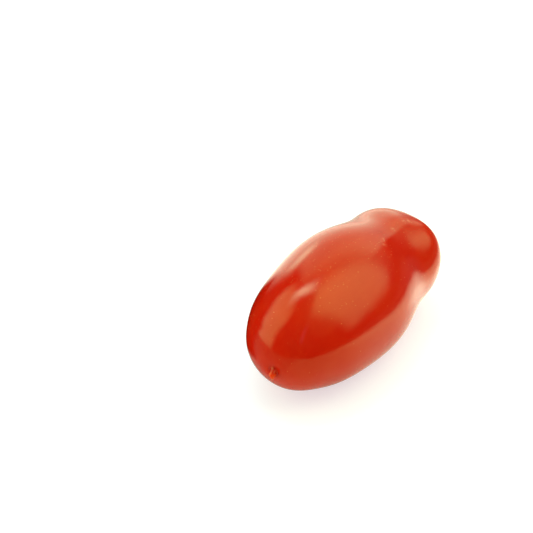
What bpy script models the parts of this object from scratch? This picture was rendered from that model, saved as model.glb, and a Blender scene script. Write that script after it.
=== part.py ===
"""A ripe plum tomato, whole and without its calyx, lying on its side.

Metres, +Z up. +X runs from the blossom end to the stem end. The origin lies under the middle
of the fruit's box, on the surface that the fruit rests on.
"""

import math

import bmesh
import bpy
from mathutils import Matrix, Vector

MM = 0.001

# The fruit's skin along its axis, in rings: the distance from the blossom end, the mean
# radius, and how far the lobes of the three seed chambers stand out, as a share of the radius.
# A share below nought is a shoulder near the stem, whose folds lie between the lobes.
LENGTH = 78.0 * MM
RINGS = (
    (1.2 * MM, 5.6 * MM, 0.00),
    (4.3 * MM, 11.1 * MM, 0.00),
    (9.4 * MM, 14.2 * MM, 0.01),
    (16.0 * MM, 17.5 * MM, 0.03),
    (23.8 * MM, 19.2 * MM, 0.04),
    (32.0 * MM, 20.3 * MM, 0.05),
    (39.8 * MM, 20.8 * MM, 0.05),
    (47.2 * MM, 19.8 * MM, 0.05),
    (53.8 * MM, 17.7 * MM, 0.05),
    (59.7 * MM, 16.4 * MM, 0.05),
    (65.1 * MM, 16.4 * MM, 0.03),
    (69.8 * MM, 15.5 * MM, -0.01),
    (74.1 * MM, 12.7 * MM, -0.04),
    (77.2 * MM, 8.2 * MM, -0.02),
)
SEGMENTS = 12
SUBDIVISIONS = 2
LOBES = 3
LOBE_ANGLE = math.radians(92)  # of the upper lobe, from +Y towards +Z
FLATTENING = 0.07  # the fruit is this share wider across than it is high
BLOSSOM_BOW = Vector((0.0, -1.6, -0.5)) * MM  # how far each end bends off the straight axis
STEM_BOW = Vector((0.0, -1.9, -0.9)) * MM

# The remnant of the style, a small blunt cone on the blossom end.
STYLE_LENGTH = 1.6 * MM
STYLE_ROOT = 1.5 * MM
STYLE_RADIUS = 1.8 * MM
STYLE_TIP_RADIUS = 0.4 * MM

# The shallow dimple at the stem end, and the corky scar at its bottom.
DIMPLE_RADIUS = 8.0 * MM
DIMPLE_DEPTH = 1.6 * MM
SCAR_RADIUS = 2.3 * MM
SCAR_HEIGHT = 0.5 * MM

# The small flat spot that the fruit rests on.
FLAT_DEPTH = 0.25 * MM

SKIN_COLOUR = (0.56, 0.011, 0.002, 1.0)
SKIN_ROUGHNESS = 0.15

POLES_ALONG_X = Matrix.Rotation(math.radians(90), 4, "Y")


def clear_scene():
    for obj in list(bpy.data.objects):
        bpy.data.objects.remove(obj, do_unlink=True)


def new_collection(name):
    collection = bpy.data.collections.new(name)
    bpy.context.scene.collection.children.link(collection)
    return collection


def new_object(name, bm, collection):
    mesh = bpy.data.meshes.new(name)
    bm.to_mesh(mesh)
    bm.free()
    obj = bpy.data.objects.new(name, mesh)
    collection.objects.link(obj)
    return obj


def left_by_smoothing(waves):
    """The share of a wave round a ring of the cage that subdivision leaves."""
    return (4 + 2 * math.cos(2 * math.pi * waves / SEGMENTS)) / 6


def axis_point(along):
    """A point on the fruit's slightly bowed axis."""
    half = LENGTH / 2
    bow = BLOSSOM_BOW if along < half else STEM_BOW
    return Vector((along, 0, 0)) + bow * ((along - half) / half) ** 2


def skin_point(along, radius, lobe, angle):
    """A corner of the cage, set out so that the smoothed skin has the radius and lobes."""
    lobing = lobe / left_by_smoothing(LOBES) * math.cos(LOBES * (angle - LOBE_ANGLE))
    flattening = FLATTENING / 2 * math.cos(2 * angle)
    reach = radius / left_by_smoothing(1) * (1 + lobing + flattening)
    return axis_point(along) + Vector((0, math.cos(angle), math.sin(angle))) * reach


def skin_cage():
    """A sphere with its poles along X, each of its rings moved to its place on the fruit."""
    rings = ((0, 0, 0), *RINGS, (LENGTH, 0, 0))
    bands = len(rings) - 1
    bm = bmesh.new()
    bmesh.ops.create_uvsphere(
        bm, u_segments=SEGMENTS, v_segments=bands, radius=1, matrix=POLES_ALONG_X
    )
    for vert in bm.verts:
        from_blossom = math.acos(max(-1, min(1, -vert.co.x)))
        along, radius, lobe = rings[round(from_blossom / math.pi * bands)]
        vert.co = skin_point(along, radius, lobe, math.atan2(vert.co.z, vert.co.y))
    bmesh.ops.recalc_face_normals(bm, faces=bm.faces)
    return bm


def cone_along_x(start, end, start_radius, end_radius, segments=16):
    """A closed cone or disc between two distances along the fruit's axis."""
    bm = bmesh.new()
    bmesh.ops.create_cone(
        bm,
        cap_ends=True,
        segments=segments,
        radius1=start_radius,
        radius2=end_radius,
        depth=end - start,
        matrix=Matrix.Translation(axis_point((start + end) / 2)) @ POLES_ALONG_X,
    )
    return bm


def sphere_on_axis(along, radius):
    bm = bmesh.new()
    bmesh.ops.create_uvsphere(
        bm,
        u_segments=24,
        v_segments=16,
        radius=radius,
        matrix=Matrix.Translation(axis_point(along)) @ POLES_ALONG_X,
    )
    return bm


def block_below_ground():
    """A block whose top is the surface that the fruit rests on."""
    bm = bmesh.new()
    size = 2 * LENGTH
    place = Matrix.Translation((0, 0, -size / 2)) @ Matrix.Diagonal((size, size, size, 1))
    bmesh.ops.create_cube(bm, size=1, matrix=place)
    return bm


def box_of(obj):
    """The lowest and highest corner of the evaluated object, in world space."""
    bpy.context.view_layer.update()
    evaluated = obj.evaluated_get(bpy.context.evaluated_depsgraph_get())
    mesh = evaluated.to_mesh()
    points = [obj.matrix_world @ vert.co for vert in mesh.vertices]
    evaluated.to_mesh_clear()
    low = Vector([min(point[axis] for point in points) for axis in range(3)])
    high = Vector([max(point[axis] for point in points) for axis in range(3)])
    return low, high


def add_boolean(obj, other, operation):
    """Joins or cuts the object with a helper that isn't itself a part."""
    other.hide_render = True
    other.display_type = "WIRE"
    modifier = obj.modifiers.new(other.name, "BOOLEAN")
    modifier.operation = operation
    modifier.solver = "EXACT"
    modifier.object = other


def skin_material():
    material = bpy.data.materials.new("tomato_skin")
    material.use_nodes = True
    shader = material.node_tree.nodes["Principled BSDF"]
    shader.inputs["Base Color"].default_value = SKIN_COLOUR
    shader.inputs["Roughness"].default_value = SKIN_ROUGHNESS
    shader.inputs["Metallic"].default_value = 0.0
    return material


def make_tomato():
    parts = new_collection("plum_tomato")
    helpers = new_collection("cutters")

    tomato = new_object("tomato", skin_cage(), parts)
    tomato.data.materials.append(skin_material())
    tomato.data.shade_smooth()
    smoothing = tomato.modifiers.new("smoothing", "SUBSURF")
    smoothing.levels = SUBDIVISIONS
    smoothing.render_levels = SUBDIVISIONS

    stem_end = LENGTH - (LENGTH - RINGS[-1][0]) / 3
    style = cone_along_x(-STYLE_LENGTH, STYLE_ROOT, STYLE_TIP_RADIUS, STYLE_RADIUS)
    dimple = sphere_on_axis(stem_end - DIMPLE_DEPTH + DIMPLE_RADIUS, DIMPLE_RADIUS)
    scar_top = stem_end - DIMPLE_DEPTH + SCAR_HEIGHT
    scar = cone_along_x(scar_top - 4 * SCAR_HEIGHT, scar_top, SCAR_RADIUS, 0.8 * SCAR_RADIUS)
    for name, bm, operation in (
        ("style_remnant", style, "UNION"),
        ("stem_dimple", dimple, "DIFFERENCE"),
        ("stem_scar", scar, "UNION"),
    ):
        helper = new_object(name, bm, helpers)
        helper.parent = tomato
        add_boolean(tomato, helper, operation)

    low, high = box_of(tomato)
    centre = (low + high) / 2
    tomato.location = (-centre.x, -centre.y, -low.z - FLAT_DEPTH)
    ground = new_object("resting_surface", block_below_ground(), helpers)
    add_boolean(tomato, ground, "DIFFERENCE")


clear_scene()
make_tomato()
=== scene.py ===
"""The looks of a ripe plum tomato that lies on its side: its skin, studio and camera.

Metres, +Z up, +X towards the stem end, as in the frame. The skin's own shape is given in
millimetres along its axis, counted from the blossom end.
"""

import math

import bmesh
import bpy
from mathutils import Matrix, Vector


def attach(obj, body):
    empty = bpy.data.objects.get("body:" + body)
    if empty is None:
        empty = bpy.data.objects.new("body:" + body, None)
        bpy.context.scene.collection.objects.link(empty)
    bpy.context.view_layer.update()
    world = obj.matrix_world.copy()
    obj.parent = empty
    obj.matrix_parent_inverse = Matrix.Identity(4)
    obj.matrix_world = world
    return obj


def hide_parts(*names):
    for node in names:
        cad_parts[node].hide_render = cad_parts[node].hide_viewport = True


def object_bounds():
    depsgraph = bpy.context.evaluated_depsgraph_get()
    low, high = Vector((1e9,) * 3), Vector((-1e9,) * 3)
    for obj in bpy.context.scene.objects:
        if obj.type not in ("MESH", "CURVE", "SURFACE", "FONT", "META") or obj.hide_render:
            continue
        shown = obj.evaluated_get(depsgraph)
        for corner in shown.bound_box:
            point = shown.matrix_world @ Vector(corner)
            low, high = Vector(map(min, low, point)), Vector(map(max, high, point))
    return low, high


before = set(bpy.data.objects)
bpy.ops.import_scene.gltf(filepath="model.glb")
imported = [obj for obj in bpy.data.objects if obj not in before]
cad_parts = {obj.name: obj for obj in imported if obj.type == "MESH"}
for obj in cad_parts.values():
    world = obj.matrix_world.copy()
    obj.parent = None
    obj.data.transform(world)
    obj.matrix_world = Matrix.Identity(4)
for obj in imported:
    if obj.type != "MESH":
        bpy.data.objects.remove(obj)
frame_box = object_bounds()

MM = 0.001

# --- sizes of the fruit ------------------------------------------------------------------

LENGTH = 78.0  # of the fruit without its style remnant
SEGMENTS = 12
LOBES = 3
UPPER_LOBE = math.radians(90)  # from +Y towards +Z
WIDER_THAN_HIGH = 0.035
BLOSSOM_BOW = Vector((0.0, -1.6, -0.5))  # how far each end bends off the straight axis
STEM_BOW = Vector((0.0, -1.9, -0.9))
FLAT_DEPTH = 0.25
STYLE_LENGTH = 1.6
CLEARANCE = 0.02  # to the frame's box, on each side

# Rings of the cage: distance from the blossom end, radius, height of the lobes as a share of
# the radius, how far the ring is pushed aside and up, and how far it is turned downwards.
STYLE_REMNANT = (
    (-0.95, 0.00, 0.0, -1.25, -2.75, 70),
    (-0.98, 0.25, 0.0, -1.22, -2.60, 66),
    (-0.95, 0.60, 0.0, -1.12, -2.25, 58),
    (-0.75, 0.95, 0.0, -1.00, -1.85, 44),
    (-0.20, 1.15, 0.0, -0.85, -1.45, 24),
    (0.50, 1.20, 0.0, -0.72, -1.20, 8),
    (0.82, 1.45, 0.0, -0.65, -1.10, 0),
    (0.70, 1.95, 0.0, -0.50, -0.85, 0),
    (0.68, 3.00, 0.0, -0.25, -0.40, 0),
)
BODY = (
    (1.3, 5.6, 0.00, 0.0, 0.0, 0),
    (4.3, 11.1, 0.00, 0.0, 0.0, 0),
    (9.4, 14.2, 0.01, 0.0, 0.0, 0),
    (16.0, 17.5, 0.03, 0.0, 0.0, 0),
    (23.8, 19.2, 0.04, 0.0, 0.0, 0),
    (32.0, 20.3, 0.05, 0.0, 0.0, 0),
    (39.8, 20.8, 0.05, 0.0, 0.0, 0),
    (47.2, 19.8, 0.05, 0.0, 0.0, 0),
    (53.8, 17.7, 0.05, 0.0, 0.0, 0),
    (59.7, 16.4, 0.05, 0.0, 0.0, 0),
    (65.1, 16.4, 0.03, 0.0, 0.0, 0),
    (69.8, 15.5, -0.01, 0.0, 0.0, 0),
    (74.1, 12.7, -0.04, 0.0, 0.0, 0),
    (77.1, 8.3, -0.02, 0.0, 0.0, 0),
)
STEM_DIMPLE = (
    (77.70, 5.90, 0.0, 0.0, 0.0, 0),
    (77.30, 4.50, 0.0, 0.0, 0.0, 0),
    (76.50, 3.50, 0.0, 0.0, 0.0, 0),
    (76.05, 2.85, 0.0, 0.0, 0.0, 0),
    (76.25, 2.40, 0.0, 0.0, 0.0, 0),
    (76.50, 2.00, 0.0, 0.0, 0.0, 0),
    (76.35, 1.20, 0.0, 0.0, 0.0, 0),
    (76.15, 0.50, 0.0, 0.0, 0.0, 0),
    (76.10, 0.00, 0.0, 0.0, 0.0, 0),
)

# Places that are pulled out of the skin, or pressed into it where the amount is below nought:
# distance from the blossom end, angle round the axis from +Y towards +Z, amount, and reach.
# They make the ridge that runs over the waist to the shoulder, and the flatter sides by it.
RELIEF = (
    (45.0, 118, 0.12, 6.0),
    (50.5, 115, 0.30, 6.0),
    (56.0, 111, 0.35, 6.0),
    (61.0, 108, 0.40, 6.0),
    (65.5, 108, 0.40, 6.0),
    (70.0, 118, 0.40, 6.0),
    (62.0, 117, 0.22, 7.0),
    (72.0, 136, 0.40, 7.0),
    (54.0, 138, -0.15, 9.0),
    (61.0, 156, -0.50, 10.0),
    (60.0, 80, -0.20, 9.0),
)
CAGE_SMOOTHING = 2  # levels of subdivision before the relief
FINE_SMOOTHING = 1  # and after it


# --- modelling ---------------------------------------------------------------------------

def deselect_all():
    if bpy.context.mode != "OBJECT":
        bpy.ops.object.mode_set(mode="OBJECT")
    bpy.ops.object.select_all(action="DESELECT")


def select_only(obj):
    deselect_all()
    obj.select_set(True)
    bpy.context.view_layer.objects.active = obj


def edit(obj):
    select_only(obj)
    bpy.ops.object.mode_set(mode="EDIT")
    bpy.ops.mesh.select_mode(type="VERT")


def done_editing():
    bpy.ops.object.mode_set(mode="OBJECT")


def select_where(obj, wanted):
    """Selects the points of the mesh in edit mode for which wanted(point) is true."""
    mesh = bmesh.from_edit_mesh(obj.data)
    for vert in mesh.verts:
        vert.select_set(bool(wanted(vert)))
    mesh.select_flush(True)
    bmesh.update_edit_mesh(obj.data)


def smooth(obj, levels):
    """Subdivides the whole mesh smoothly and keeps the result."""
    modifier = obj.modifiers.new("smoothing", "SUBSURF")
    modifier.levels = levels
    modifier.render_levels = levels
    select_only(obj)
    bpy.ops.object.modifier_apply(modifier=modifier.name)


def box_of(obj):
    points = [vert.co for vert in obj.data.vertices]
    low = Vector([min(point[axis] for point in points) for axis in range(3)])
    high = Vector([max(point[axis] for point in points) for axis in range(3)])
    return low, high


def bow(along):
    """How far the fruit's axis lies off a straight line, at a distance from the blossom end."""
    half = LENGTH / 2
    end = BLOSSOM_BOW if along < half else STEM_BOW
    return end * ((along - half) / half) ** 2


def outward_at(angle):
    return Vector((0, math.cos(math.radians(angle)), math.sin(math.radians(angle))))


def left_by_smoothing(waves):
    """The share of a wave round a ring of the cage that subdivision leaves."""
    return (4 + 2 * math.cos(2 * math.pi * waves / SEGMENTS)) / 6


def make_skin():
    """A sphere with its poles along X, each of its rings brought to its place and size."""
    rings = STYLE_REMNANT + BODY + STEM_DIMPLE
    bands = len(rings) - 1
    deselect_all()
    bpy.ops.mesh.primitive_uv_sphere_add(
        segments=SEGMENTS, ring_count=bands, radius=1, rotation=(0, math.pi / 2, 0)
    )
    skin = bpy.context.object
    skin.name = skin.data.name = "tomato_skin"
    bpy.ops.object.transform_apply(location=False, rotation=True, scale=False)
    points = [vert.co for vert in skin.data.vertices]
    from_blossom = [math.acos(max(-1, min(1, -point.x))) for point in points]
    numbers = [round(angle / math.pi * bands) for angle in from_blossom]
    waves = [math.cos(LOBES * (math.atan2(point.z, point.y) - UPPER_LOBE)) for point in points]
    edit(skin)
    for number, ring in enumerate(rings):
        start = -math.cos(number * math.pi / bands)
        width = math.sin(number * math.pi / bands) if 0 < number < bands else 0
        shape_ring(skin, ring, number, numbers, waves, start, width)
    done_editing()
    return skin


def shape_ring(skin, ring, number, numbers, waves, start, width):
    """Brings one ring from its place and width on the sphere to those on the fruit."""
    along, radius, lobe, aside, up, turn = ring
    select_where(skin, lambda vert: numbers[vert.index] == number)
    if width:
        reach = radius / left_by_smoothing(1) / width
        bpy.ops.transform.resize(
            value=(1, reach * (1 + WIDER_THAN_HIGH), reach * (1 - WIDER_THAN_HIGH)),
            center_override=(start, 0, 0),
        )
    centre = Vector((along, aside, up)) + bow(along)
    bpy.ops.transform.translate(value=centre - Vector((start, 0, 0)))
    for side in (1, -1) if lobe else ():
        select_where(
            skin, lambda vert: numbers[vert.index] == number and waves[vert.index] * side > 0.9
        )
        share = 1 + side * lobe / left_by_smoothing(LOBES)
        bpy.ops.transform.resize(value=(1, share, share), center_override=centre)
    if turn and radius:
        bpy.ops.transform.rotate(
            value=math.radians(turn), orient_axis="Y", center_override=centre
        )


def pull(skin, along, angle, amount, reach):
    """Pulls one place of the skin straight out from the axis, and the skin round it along."""
    outward = outward_at(angle)
    axis = Vector((along, 0, 0)) + bow(along)

    def off_the_line(vert):
        """How far a point lies from the line out of the axis, behind which none is near."""
        out = outward.dot(vert.co - axis)
        return (vert.co - axis - outward * out).length + (LENGTH if out < 0 else 0)

    edit(skin)
    nearest = min(bmesh.from_edit_mesh(skin.data).verts, key=off_the_line).index
    select_where(skin, lambda vert: vert.index == nearest)
    bpy.ops.transform.translate(
        value=outward * amount,
        use_proportional_edit=True,
        proportional_edit_falloff="SMOOTH",
        proportional_size=reach,
    )
    done_editing()


def settle(skin):
    """Brings the fruit to size and lays it where the frame's solid lies, within its box.

    Returns how far it was narrowed for that, and how far it was moved.
    """
    select_only(skin)
    low, high = box_of(skin)
    room = (frame_box[1] - frame_box[0]) / MM
    across = min(1, (room.y - 2 * CLEARANCE) / (high.y - low.y))
    skin.scale = (MM, MM * across, MM)
    skin.location.x = frame_box[0].x + STYLE_LENGTH * MM
    skin.location.y = -MM * across * (low.y + high.y) / 2
    skin.location.z = -(low.z + FLAT_DEPTH) * MM
    shift = skin.location.copy()
    bpy.ops.object.transform_apply(location=True, rotation=False, scale=True)
    return across, shift


def press_flat(skin):
    """Presses the underside onto the surface that the fruit rests on."""
    edit(skin)
    select_where(skin, lambda vert: vert.co.z < 0)
    bpy.ops.transform.resize(value=(1, 1, 0), center_override=(0, 0, 0))
    done_editing()


skin = make_skin()
smooth(skin, CAGE_SMOOTHING)
for spot in RELIEF:
    pull(skin, *spot)
smooth(skin, FINE_SMOOTHING)
ACROSS, SHIFT = settle(skin)
press_flat(skin)
select_only(skin)
bpy.ops.object.shade_smooth()


def skin_place(along, aside=0.0, up=0.0):
    """The place in the frame of a point given in millimetres from the fruit's axis."""
    point = Vector((along, aside, up)) + bow(along)
    return Vector((point.x * MM, point.y * MM * ACROSS, point.z * MM)) + SHIFT


def on_skin(along, angle):
    """The place on the skin at a distance from the blossom end and an angle round the axis."""
    outward = outward_at(angle) * Vector((1, ACROSS, 1))
    hit, place, _, _ = skin.ray_cast(skin_place(along), outward)
    return place


# --- finish of the skin ------------------------------------------------------------------

RIPE_RED = (0.43, 0.0080, 0.0012, 1.0)
ORANGE_RED = (0.47, 0.019, 0.0025, 1.0)
# The colour of the painted shade in the socket round the nub.
SOCKET_SHADE_RED = (0.30, 0.003, 0.0008, 1.0)
SHOULDER = (0.48, 0.030, 0.004, 1.0)
FLECK = (0.80, 0.36, 0.14, 1.0)
# The colour of the painted highlight on the ridge of the shoulder.
RIDGE_HIGHLIGHT_CREAM = (0.78, 0.42, 0.20, 1.0)
NUB = (0.50, 0.036, 0.003, 1.0)
NUB_TIP = (0.42, 0.34, 0.07, 1.0)
CORK = (0.25, 0.085, 0.045, 1.0)
CORK_LIGHT = (0.52, 0.22, 0.14, 1.0)
SCAR_RIM = (0.54, 0.13, 0.03, 1.0)

SHOULDER_FROM = (22 * MM, 39 * MM)  # where the skin turns paler, along X
FLECKS_FROM = (12 * MM, 36 * MM)  # how high up, or near the stem, the flecks grow dense
WAIST_SPOT = (56.4, 195)  # distance from the blossom end, angle round the axis
# Painted highlight: pale marks on the ridge of the shoulder, where it catches the lamps.
PAINTED_RIDGE_HIGHLIGHTS = (  # the same, then the radius
    (48.8, 117.5, 1.7),
    (50.2, 115.5, 1.5),
    (57.6, 111.0, 1.2),
    (64.2, 109.5, 1.3),
    (66.2, 112.0, 1.5),
)
SCAR_AT = 76.2
FOLDS = 5  # round the scar
FOLD_UNEVEN = 8.0
FOLD_HEIGHT = 0.16 * MM
WAVE_HEIGHT = 0.05 * MM
GRAIN_HEIGHT = 0.0025 * MM
CRUST_HEIGHT = 0.25 * MM
SKIN_ROUGHNESS = 0.075
SKIN_UNEVEN = 0.06
EDGE_UNEVEN = 1.2 * MM  # how far the edges of the nub's and the scar's marks wander


class Nodes:
    """Short ways to add and link the nodes of one material, lamp or node group."""

    def __init__(self, tree):
        self.tree = tree

    def give(self, socket, value):
        """Links another node's output to a socket, or sets the socket to a plain value."""
        if isinstance(value, bpy.types.NodeSocket):
            self.tree.links.new(value, socket)
        else:
            socket.default_value = value

    def add(self, kind, inputs=None, **settings):
        node = self.tree.nodes.new("ShaderNode" + kind)
        for name, value in settings.items():
            setattr(node, name, value)
        for name, value in (inputs or {}).items():
            self.give(node.inputs[name], value)
        return node

    def maths(self, operation, first, *others):
        """Combines two or more values, one after the other, or works on a single one."""
        if not others:
            return self.add("Math", {0: first}, operation=operation).outputs[0]
        for other in others:
            first = self.add("Math", {0: first, 1: other}, operation=operation).outputs[0]
        return first

    def times(self, *values):
        return self.maths("MULTIPLY", *values)

    def plus(self, *values):
        return self.maths("ADD", *values)

    def opposite(self, value):
        return self.maths("SUBTRACT", 1.0, value)

    def vector(self, operation, first, second):
        inputs = {0: first, 1: second}
        return self.add("VectorMath", inputs, operation=operation).outputs

    def blend(self, share, first, second):
        """The first colour where the share is 0, the second where it is 1."""
        node = self.add("Mix", data_type="RGBA")
        for socket, value in zip((0, 6, 7), (share, first, second)):
            self.give(node.inputs[socket], value)
        return node.outputs[2]

    def fade(self, value, start, end):
        """A soft step from 0 at start to 1 at end."""
        inputs = {"Value": value, "From Min": start, "From Max": end}
        return self.add("MapRange", inputs, interpolation_type="SMOOTHSTEP").outputs[0]

    def noise(self, place, scale, detail=2.0, roughness=0.5):
        inputs = {"Vector": place, "Scale": scale, "Detail": detail, "Roughness": roughness}
        return self.add("TexNoise", inputs).outputs[0]


def node_group(name, inputs, outputs):
    """A new shader node group: itself, its Nodes, and its input and output sockets."""
    group = bpy.data.node_groups.new(name, "ShaderNodeTree")
    for way, sockets in (("INPUT", inputs), ("OUTPUT", outputs)):
        for socket, kind in sockets.items():
            group.interface.new_socket(socket, in_out=way, socket_type="NodeSocket" + kind)
    given = group.nodes.new("NodeGroupInput").outputs
    result = group.nodes.new("NodeGroupOutput").inputs
    return group, Nodes(group), given, result


def round_mark_group():
    """A soft round mark about a point: 1 within the inner radius, 0 beyond the outer one."""
    group, nodes, given, result = node_group(
        "round_mark",
        {"Place": "Vector", "Centre": "Vector", "Inner": "Float", "Outer": "Float"},
        {"Mark": "Float"},
    )
    reach = nodes.vector("DISTANCE", given["Place"], given["Centre"])["Value"]
    nodes.give(result["Mark"], nodes.fade(reach, given["Outer"], given["Inner"]))
    return group


def fleck_group():
    """Tiny pale dots scattered through space, some cells of which stay empty."""
    group, nodes, given, result = node_group(
        "pale_flecks",
        {"Place": "Vector", "Cells": "Float", "Size": "Float", "Share": "Float"},
        {"Mark": "Float"},
    )
    cells = nodes.add("TexVoronoi", {"Vector": given["Place"], "Scale": given["Cells"]})
    chance = nodes.add("SeparateColor", {0: cells.outputs["Color"]}).outputs
    kept = nodes.maths("LESS_THAN", chance[0], given["Share"])
    size = nodes.times(given["Size"], nodes.plus(chance[1], 0.4))
    inside = nodes.maths("SUBTRACT", size, cells.outputs["Distance"])
    dot = nodes.fade(inside, 0.0, nodes.times(size, 0.6))
    nodes.give(result["Mark"], nodes.times(kept, dot))
    return group


class SkinNodes(Nodes):
    """The nodes of the skin's material, with its places and the marks that it uses."""

    def __init__(self, tree):
        super().__init__(tree)
        self.place = self.add("TexCoord").outputs["Object"]
        self.x, self.y, self.z = self.add("SeparateXYZ", {0: self.place}).outputs
        wobble = self.add("TexNoise", {"Vector": self.place, "Scale": 700.0, "Detail": 3.0})
        wobble = self.vector("SUBTRACT", wobble.outputs["Color"], (0.5, 0.5, 0.5))[0]
        wobble = self.add("VectorMath", {0: wobble, "Scale": EDGE_UNEVEN}, operation="SCALE")
        self.uneven_place = self.vector("ADD", self.place, wobble.outputs[0])[0]
        self.round_mark = round_mark_group()
        self.flecks = fleck_group()

    def mark(self, centre, inner, outer, uneven=False):
        """A round mark with its radii in millimetres, with a smooth or an uneven edge."""
        inputs = {
            "Place": self.uneven_place if uneven else self.place,
            "Centre": centre,
            "Inner": inner * MM,
            "Outer": outer * MM,
        }
        return self.add("Group", inputs, node_tree=self.round_mark).outputs["Mark"]

    def dots(self, cells, size, share):
        inputs = {"Place": self.place, "Cells": cells, "Size": size, "Share": share}
        return self.add("Group", inputs, node_tree=self.flecks).outputs["Mark"]


def ripeness(nodes):
    """Slow changes of ripeness, faint streaks along the fruit, and paler shoulders."""
    mottle = nodes.fade(nodes.noise(nodes.place, 75, 3), 0.40, 0.68)
    along = nodes.add("Mapping", {"Vector": nodes.place, "Scale": (0.12, 1.0, 1.0)}).outputs[0]
    streaks = nodes.fade(nodes.noise(along, 420, 3, 0.6), 0.45, 0.75)
    share = nodes.plus(nodes.times(mottle, 0.4), nodes.times(streaks, 0.22))
    colour = nodes.blend(share, RIPE_RED, ORANGE_RED)
    shoulders = nodes.times(nodes.fade(nodes.x, *SHOULDER_FROM), 0.55)
    return nodes.blend(shoulders, colour, SHOULDER)


def pale_specks(nodes):
    """Pale flecks in clusters, most of them high up and near the stem, and one larger spot."""
    cluster = nodes.fade(nodes.noise(nodes.place, 95, 2), 0.38, 0.62)
    upward = nodes.plus(nodes.z, nodes.times(nodes.y, 0.5), nodes.times(nodes.x, 0.25))
    density = nodes.plus(nodes.times(nodes.fade(upward, *FLECKS_FROM), 0.95), 0.15)
    fine = nodes.dots(1250, 0.16, nodes.times(cluster, density, 1.4))
    sparse = nodes.dots(330, 0.05, 0.35)
    flecks = nodes.times(nodes.maths("MAXIMUM", fine, sparse), 0.38)
    spot = nodes.times(nodes.mark(on_skin(*WAIST_SPOT), 0.15, 0.75), 0.9)
    return nodes.maths("MAXIMUM", flecks, spot)


def ridge_highlight_marks(nodes):
    """Painted highlight on the ridge of the shoulder: small pale marks where the ridge catches
    the lamps, with a grain like scuffs.
    """
    grain = nodes.fade(nodes.noise(nodes.place, 900, 3, 0.6), 0.38, 0.62)
    marks = [nodes.mark(on_skin(along, angle), 0.0, radius) for along, angle, radius in PAINTED_RIDGE_HIGHLIGHTS]
    return nodes.times(nodes.maths("MAXIMUM", *marks), grain, 0.24)


def nub_colour(nodes, colour):
    """The nub at the blossom end, with painted shade in the socket round it. Returns the nub's
    mark too.
    """
    # Painted shade: the socket round the nub is darkened towards a deep red.
    socket = nodes.mark(skin_place(0.8, -0.65, -1.1), 1.5, 2.1, uneven=True)
    colour = nodes.blend(nodes.times(socket, 0.5), colour, SOCKET_SHADE_RED)
    nub = nodes.mark(skin_place(-0.8, -1.1, -2.0), 1.0, 1.7, uneven=True)
    colour = nodes.blend(nub, colour, NUB)
    tip = nodes.mark(skin_place(-0.95, -1.35, -2.9), 0.35, 0.8, uneven=True)
    return nodes.blend(tip, colour, NUB_TIP), nub


def scar_colour(nodes, colour, cork, grain, rim):
    """The corky scar at the stem end and the yellowish ring round it."""
    halo = nodes.mark(skin_place(SCAR_AT), 3.2, 8.5, uneven=True)
    colour = nodes.blend(nodes.times(halo, 0.8), colour, SHOULDER)
    colour = nodes.blend(rim, colour, SCAR_RIM)
    return nodes.blend(cork, colour, nodes.blend(grain, CORK, CORK_LIGHT))


def scar_folds(nodes, rim):
    """Shallow, uneven folds that run out from the scar."""
    away = nodes.vector("SUBTRACT", nodes.uneven_place, skin_place(SCAR_AT))[0]
    _, across, up = nodes.add("SeparateXYZ", {0: away}).outputs
    turn = nodes.times(nodes.maths("ARCTAN2", up, across), FOLDS)
    turn = nodes.plus(turn, nodes.times(nodes.noise(nodes.place, 110, 1), FOLD_UNEVEN))
    reach = nodes.mark(skin_place(SCAR_AT), 4.0, 9.0)
    return nodes.times(nodes.maths("SINE", turn), reach, nodes.opposite(rim), FOLD_HEIGHT)


def skin_finish():
    material = bpy.data.materials.new("ripe_skin")
    material.use_nodes = True
    nodes = SkinNodes(material.node_tree)
    sockets = material.node_tree.nodes["Principled BSDF"].inputs

    specks = pale_specks(nodes)
    cork = nodes.mark(skin_place(SCAR_AT), 2.3, 2.9, uneven=True)
    cork_grain = nodes.fade(nodes.noise(nodes.place, 1800, 4, 0.6), 0.35, 0.65)
    rim = nodes.mark(skin_place(SCAR_AT), 2.8, 3.6, uneven=True)
    colour = nodes.blend(specks, ripeness(nodes), FLECK)
    # Painted highlight on the ridge of the shoulder, in a pale cream.
    colour = nodes.blend(ridge_highlight_marks(nodes), colour, RIDGE_HIGHLIGHT_CREAM)
    colour, nub = nub_colour(nodes, colour)
    colour = scar_colour(nodes, colour, cork, cork_grain, rim)
    nodes.give(sockets["Base Color"], colour)

    # Waxy gloss, a little uneven; the flecks, the nub and above all the cork are duller.
    gloss = nodes.plus(
        nodes.times(nodes.noise(nodes.place, 160, 3), SKIN_UNEVEN),
        SKIN_ROUGHNESS,
        nodes.times(specks, 0.25),
        nodes.times(cork, 0.5),
        nodes.times(nub, 0.1),
    )
    nodes.give(sockets["Roughness"], gloss)

    height = nodes.plus(
        nodes.times(nodes.noise(nodes.place, 210, 2), WAVE_HEIGHT),
        nodes.times(nodes.noise(nodes.place, 2600, 2), GRAIN_HEIGHT),
        nodes.times(cork_grain, cork, CRUST_HEIGHT),
        scar_folds(nodes, rim),
    )
    bump = nodes.add("Bump", {"Strength": 1.0, "Distance": 1.0, "Height": height})
    nodes.give(sockets["Normal"], bump.outputs[0])

    sockets["IOR"].default_value = 1.45
    sockets["Specular Tint"].default_value = (1.0, 1.0, 0.4, 1.0)
    sockets["Subsurface Weight"].default_value = 0.35
    sockets["Subsurface Radius"].default_value = (1.0, 0.12, 0.06)
    sockets["Subsurface Scale"].default_value = 8 * MM
    return material


skin.data.materials.append(skin_finish())

# --- camera ------------------------------------------------------------------------------

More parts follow.
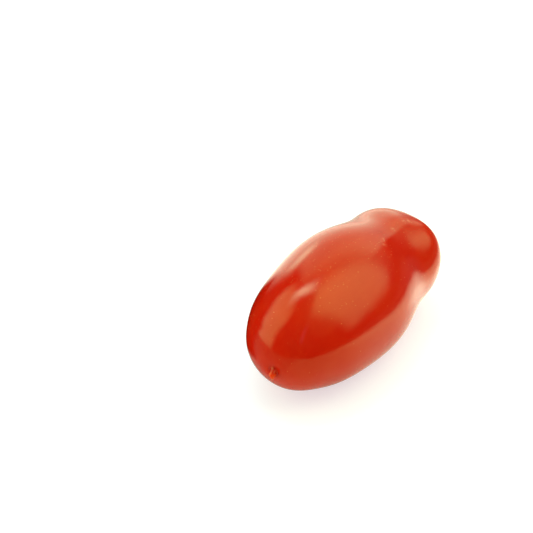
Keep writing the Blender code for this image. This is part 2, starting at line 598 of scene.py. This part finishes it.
VIEW_HEADING = math.radians(-57.0)  # round the fruit, as seen from above; 0 looks along +Y
VIEW_HEIGHT = math.radians(37.0)
VIEW_DISTANCE = 0.429
VIEW_CENTRE = (STYLE_LENGTH + LENGTH / 2, 18.8)  # along the fruit, and up from the table
LENS = 96.3
AIM_ASIDE = -0.0223
AIM_UP = 0.0086

RIGHT = Vector((math.cos(VIEW_HEADING), math.sin(VIEW_HEADING), 0))
AWAY = Vector((-math.sin(VIEW_HEADING), math.cos(VIEW_HEADING), 0))
UP = Vector((0, 0, 1))


def facing(side, up, back):
    """The rotation of a camera or lamp that has these three axes."""
    return Matrix((side, up, back)).transposed().to_euler()


def add_camera():
    data = bpy.data.cameras.new("camera")
    camera = bpy.data.objects.new("camera", data)
    bpy.context.scene.collection.objects.link(camera)
    along, height = VIEW_CENTRE
    centre = Vector((frame_box[0].x + along * MM, 0, height * MM))
    back = -AWAY * math.cos(VIEW_HEIGHT) + UP * math.sin(VIEW_HEIGHT)
    above = AWAY * math.sin(VIEW_HEIGHT) + UP * math.cos(VIEW_HEIGHT)
    camera.location = centre + back * VIEW_DISTANCE
    aim = centre + RIGHT * AIM_ASIDE + above * AIM_UP
    behind = (camera.location - aim).normalized()
    side = above.cross(behind).normalized()
    camera.rotation_euler = facing(side, behind.cross(side), behind)
    data.lens = LENS
    data.clip_start = 0.01
    data.clip_end = 20
    bpy.context.scene.camera = camera


add_camera()

# --- lamps -------------------------------------------------------------------------------

LAMP_DISTANCE = 1.0
LAMP_RAISED = 0.02  # with the point that all the lamps face
WHITE = (1.0, 1.0, 0.75)
SOFT_GREEN = (0.72, 1.0, 0.78)
COOL = (0.6, 0.75, 1.0)
VIOLET = (0.6, 0.3, 1.0)
WARM = (1.0, 0.9, 0.8)
WARMER = (1.0, 0.85, 0.7)


def toward(heading, height):
    """The direction at a heading right of straight away from the camera, and a height."""
    heading, height = math.radians(heading), math.radians(height)
    level = RIGHT * math.sin(heading) + AWAY * math.cos(heading)
    return level * math.cos(height) + UP * math.sin(height)


def soften_edges(data, reach, soft):
    """Makes a lamp's light fade out over its edges, each a share of its reach that way."""
    nodes = Nodes(data.node_tree)
    place = nodes.add("NewGeometry").outputs["Parametric"]
    sides = nodes.add("SeparateXYZ", {0: place}).outputs
    fades = []
    for side, half, edge in zip(sides, reach, soft):
        from_edge = nodes.maths("PINGPONG", side, 0.5)
        fades.append(nodes.fade(from_edge, 0.0, min(edge / half, 0.5)))
    nodes.give(data.node_tree.nodes["Emission"].inputs["Strength"], nodes.times(*fades))


def add_softbox(name, aim, half, soft, colour, radiance, in_the_gloss=True):
    """A flat lamp that faces the fruit from LAMP_DISTANCE and fades out at its edges.

    Its aim is a heading, a height and a roll. Half its width and height, and half the widths
    of its faded edges, are shares of its distance.
    """
    heading, height, roll = aim
    reach = (half[0] + soft[0], half[1] + soft[1])
    data = bpy.data.lights.new(name, "AREA")
    data.shape = "RECTANGLE"
    data.size = 2 * reach[0] * LAMP_DISTANCE
    data.size_y = 2 * reach[1] * LAMP_DISTANCE
    data.color = colour
    data.energy = radiance * math.pi * data.size * data.size_y
    data.use_nodes = True
    soften_edges(data, reach, soft)
    lamp = bpy.data.objects.new(name, data)
    bpy.context.scene.collection.objects.link(lamp)
    lamp.visible_camera = False
    lamp.visible_glossy = in_the_gloss
    direction = toward(heading, height)
    level = UP.cross(direction).normalized()
    upright = direction.cross(level)
    turn = math.radians(roll)
    side = level * math.cos(turn) - upright * math.sin(turn)
    lamp.location = direction * LAMP_DISTANCE + UP * LAMP_RAISED
    lamp.rotation_euler = facing(side, direction.cross(side), direction)


def add_lamps():
    add_softbox("softbox_right", (91, 45.5, -7), (0.33, 0.72), (0.18, 0.17), WHITE, 1.6)
    add_softbox("softbox_left", (-88, 30, -18), (0.42, 0.70), (0.16, 0.35), WHITE, 2.3)
    add_softbox("overhead", (71, 54, -50), (0.61, 0.57), (0.60, 0.55), WHITE, 1.15)
    add_softbox("bright_lamp", (-46, 74, 46), (0.22, 0.06), (0.22, 0.13), COOL, 11.5)
    add_softbox("back_panel", (-9, 7, -13), (0.46, 0.30), (0.22, 0.27), SOFT_GREEN, 1.85)
    add_softbox("back_strip", (-25, 17, 0), (0.09, 0.10), (0.08, 0.10), SOFT_GREEN, 2.5)
    add_softbox("ceiling_back", (13, 40, -24), (0.63, 0.38), (0.10, 0.25), SOFT_GREEN, 1.42)
    add_softbox("violet_glint", (170, 47.5, 26), (0.05, 0.22), (0.05, 0.10), VIOLET, 1.0)
    # Two lamps only brighten the red, and don't show in the gloss.
    add_softbox("fill_front", (180, 45, 0), (0.8, 0.5), (0.3, 0.3), WARM, 1.3, False)
    add_softbox("rim_light", (62, 16, 0), (0.3, 0.25), (0.2, 0.2), WARMER, 1.3, False)


add_lamps()

# --- table, card and surroundings --------------------------------------------------------

# The white table is lit from below. In the gloss of the fruit it is brighter beyond the stem
# end, and goes dark further out that way.
TABLE_SIZE = 6
TABLE_NEAR = (0.55, 0.55, 0.50, 1)
TABLE_FAR = (0.10, 0.10, 0.10, 1)
TABLE_LIGHT = (1.0, 1.0, 0.8, 1)
TABLE_LIGHT_TO_THE_EYE = (0.80, 0.96, 1.05, 1)
GLOW_TO_THE_EYE = 0.55
GLOW_ON_THE_SKIN = 0.97
GLOW_IN_THE_GLOSS = 2.4
GLOW_RISE = (-0.10, 0.12)  # along X
GLOW_SIDE = (0.045, 0.0)  # along Y
DARK_WAY = (0.95, -0.3, 0.0)
DARK_FROM = (0.055, 0.15)
LIGHT_WAY = (-0.39, 0.92, 0.0)
DARK_ASIDE = (0.0, -0.05)  # along LIGHT_WAY
BEHIND_FROM = (0.015, 0.05)  # along LIGHT_WAY
BEHIND_ALONG = (-0.04, 0.01)  # along X
BEHIND = 0.35
BLOSSOM_SIDE_FROM = (0.0, 0.03)  # along LIGHT_WAY
BLOSSOM_SIDE_DARK = 0.6
BRIGHT_SPOT = (0.050, -0.030, 0.0)
BRIGHT_REACH = (0.020, 0.003)
BRIGHT_MORE = 0.36

CARD_PLACE = (-25 * MM, 24.5 * MM, 17 * MM)
CARD_SIZE = (42 * MM, 40 * MM, 1)
CARD_RED = (0.12, 0.004, 0.002, 1)
CARD_SOFT = (0.50, 0.30)  # where its edge starts and is full, as shares of its size
SURROUNDINGS = (0.10, 0.08, 0.05, 1)


def matte_material(name):
    """A new material without gloss, its nodes and its shader's sockets."""
    material = bpy.data.materials.new(name)
    material.use_nodes = True
    sockets = material.node_tree.nodes["Principled BSDF"].inputs
    sockets["Roughness"].default_value = 0.9
    sockets["Specular IOR Level"].default_value = 0.0
    return material, Nodes(material.node_tree), sockets


def table_finish():
    material, nodes, sockets = matte_material("pale_table")
    place = nodes.add("TexCoord").outputs["Object"]
    path = nodes.add("LightPath").outputs
    along, across, _ = nodes.add("SeparateXYZ", {0: place}).outputs
    outward = nodes.vector("DOT_PRODUCT", place, DARK_WAY)["Value"]
    lightward = nodes.vector("DOT_PRODUCT", place, LIGHT_WAY)["Value"]
    from_spot = nodes.vector("DISTANCE", place, BRIGHT_SPOT)["Value"]
    stem_side = nodes.fade(along, *BEHIND_ALONG)
    in_the_gloss = path["Is Glossy Ray"]

    gone = nodes.times(
        nodes.fade(outward, *DARK_FROM), nodes.fade(lightward, *DARK_ASIDE), in_the_gloss
    )
    rise = nodes.maths("POWER", nodes.fade(along, *GLOW_RISE), 2.0)
    kept = nodes.times(rise, nodes.fade(across, *GLOW_SIDE), nodes.opposite(gone))
    behind = nodes.times(nodes.fade(lightward, *BEHIND_FROM), BEHIND, stem_side)
    spot = nodes.times(nodes.fade(from_spot, *BRIGHT_REACH), BRIGHT_MORE)
    glossy_glow = nodes.plus(nodes.maths("MAXIMUM", kept, behind), spot)
    glow = nodes.plus(
        nodes.times(path["Is Camera Ray"], GLOW_TO_THE_EYE),
        nodes.times(path["Is Diffuse Ray"], GLOW_ON_THE_SKIN),
        nodes.times(in_the_gloss, glossy_glow, GLOW_IN_THE_GLOSS),
    )
    blossom_side = nodes.times(
        nodes.fade(lightward, *BLOSSOM_SIDE_FROM),
        nodes.opposite(stem_side),
        in_the_gloss,
        BLOSSOM_SIDE_DARK,
    )
    darker = nodes.maths("MAXIMUM", gone, blossom_side)
    light = nodes.blend(path["Is Camera Ray"], TABLE_LIGHT, TABLE_LIGHT_TO_THE_EYE)
    nodes.give(sockets["Base Color"], nodes.blend(darker, TABLE_NEAR, TABLE_FAR))
    nodes.give(sockets["Emission Color"], light)
    nodes.give(sockets["Emission Strength"], glow)
    return material


def card_finish():
    """Dark red, see-through towards the edges."""
    material, nodes, sockets = matte_material("dark_card")
    place = nodes.add("TexCoord").outputs["Object"]
    sides = nodes.add("SeparateXYZ", {0: place}).outputs[:2]
    solid = [nodes.fade(nodes.maths("ABSOLUTE", side), *CARD_SOFT) for side in sides]
    nodes.give(sockets["Base Color"], CARD_RED)
    nodes.give(sockets["Alpha"], nodes.times(*solid))
    return material


def add_stage_plane(name, material, **placing):
    """A plane that belongs to the studio and not to the fruit."""
    deselect_all()
    bpy.ops.mesh.primitive_plane_add(**placing)
    plane = bpy.context.object
    plane.name = plane.data.name = name
    plane.data.materials.append(material)
    return plane


def add_card():
    """A dark card beside the fruit, which shows in its gloss only."""
    upright = (math.pi / 2, 0, 0)
    card = add_stage_plane(
        "dark_card", card_finish(), size=1, location=CARD_PLACE, rotation=upright
    )
    card.scale = CARD_SIZE
    card.visible_camera = False
    card.visible_diffuse = False
    card.visible_shadow = False


def add_surroundings():
    world = bpy.data.worlds.new("studio")
    world.use_nodes = True
    world.node_tree.nodes["Background"].inputs["Color"].default_value = SURROUNDINGS
    bpy.context.scene.world = world


add_stage_plane("floor", table_finish(), size=TABLE_SIZE)
add_card()
add_surroundings()
bpy.context.scene.view_settings.view_transform = "Standard"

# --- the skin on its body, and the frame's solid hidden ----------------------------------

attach(skin, "root")
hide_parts("tomato")
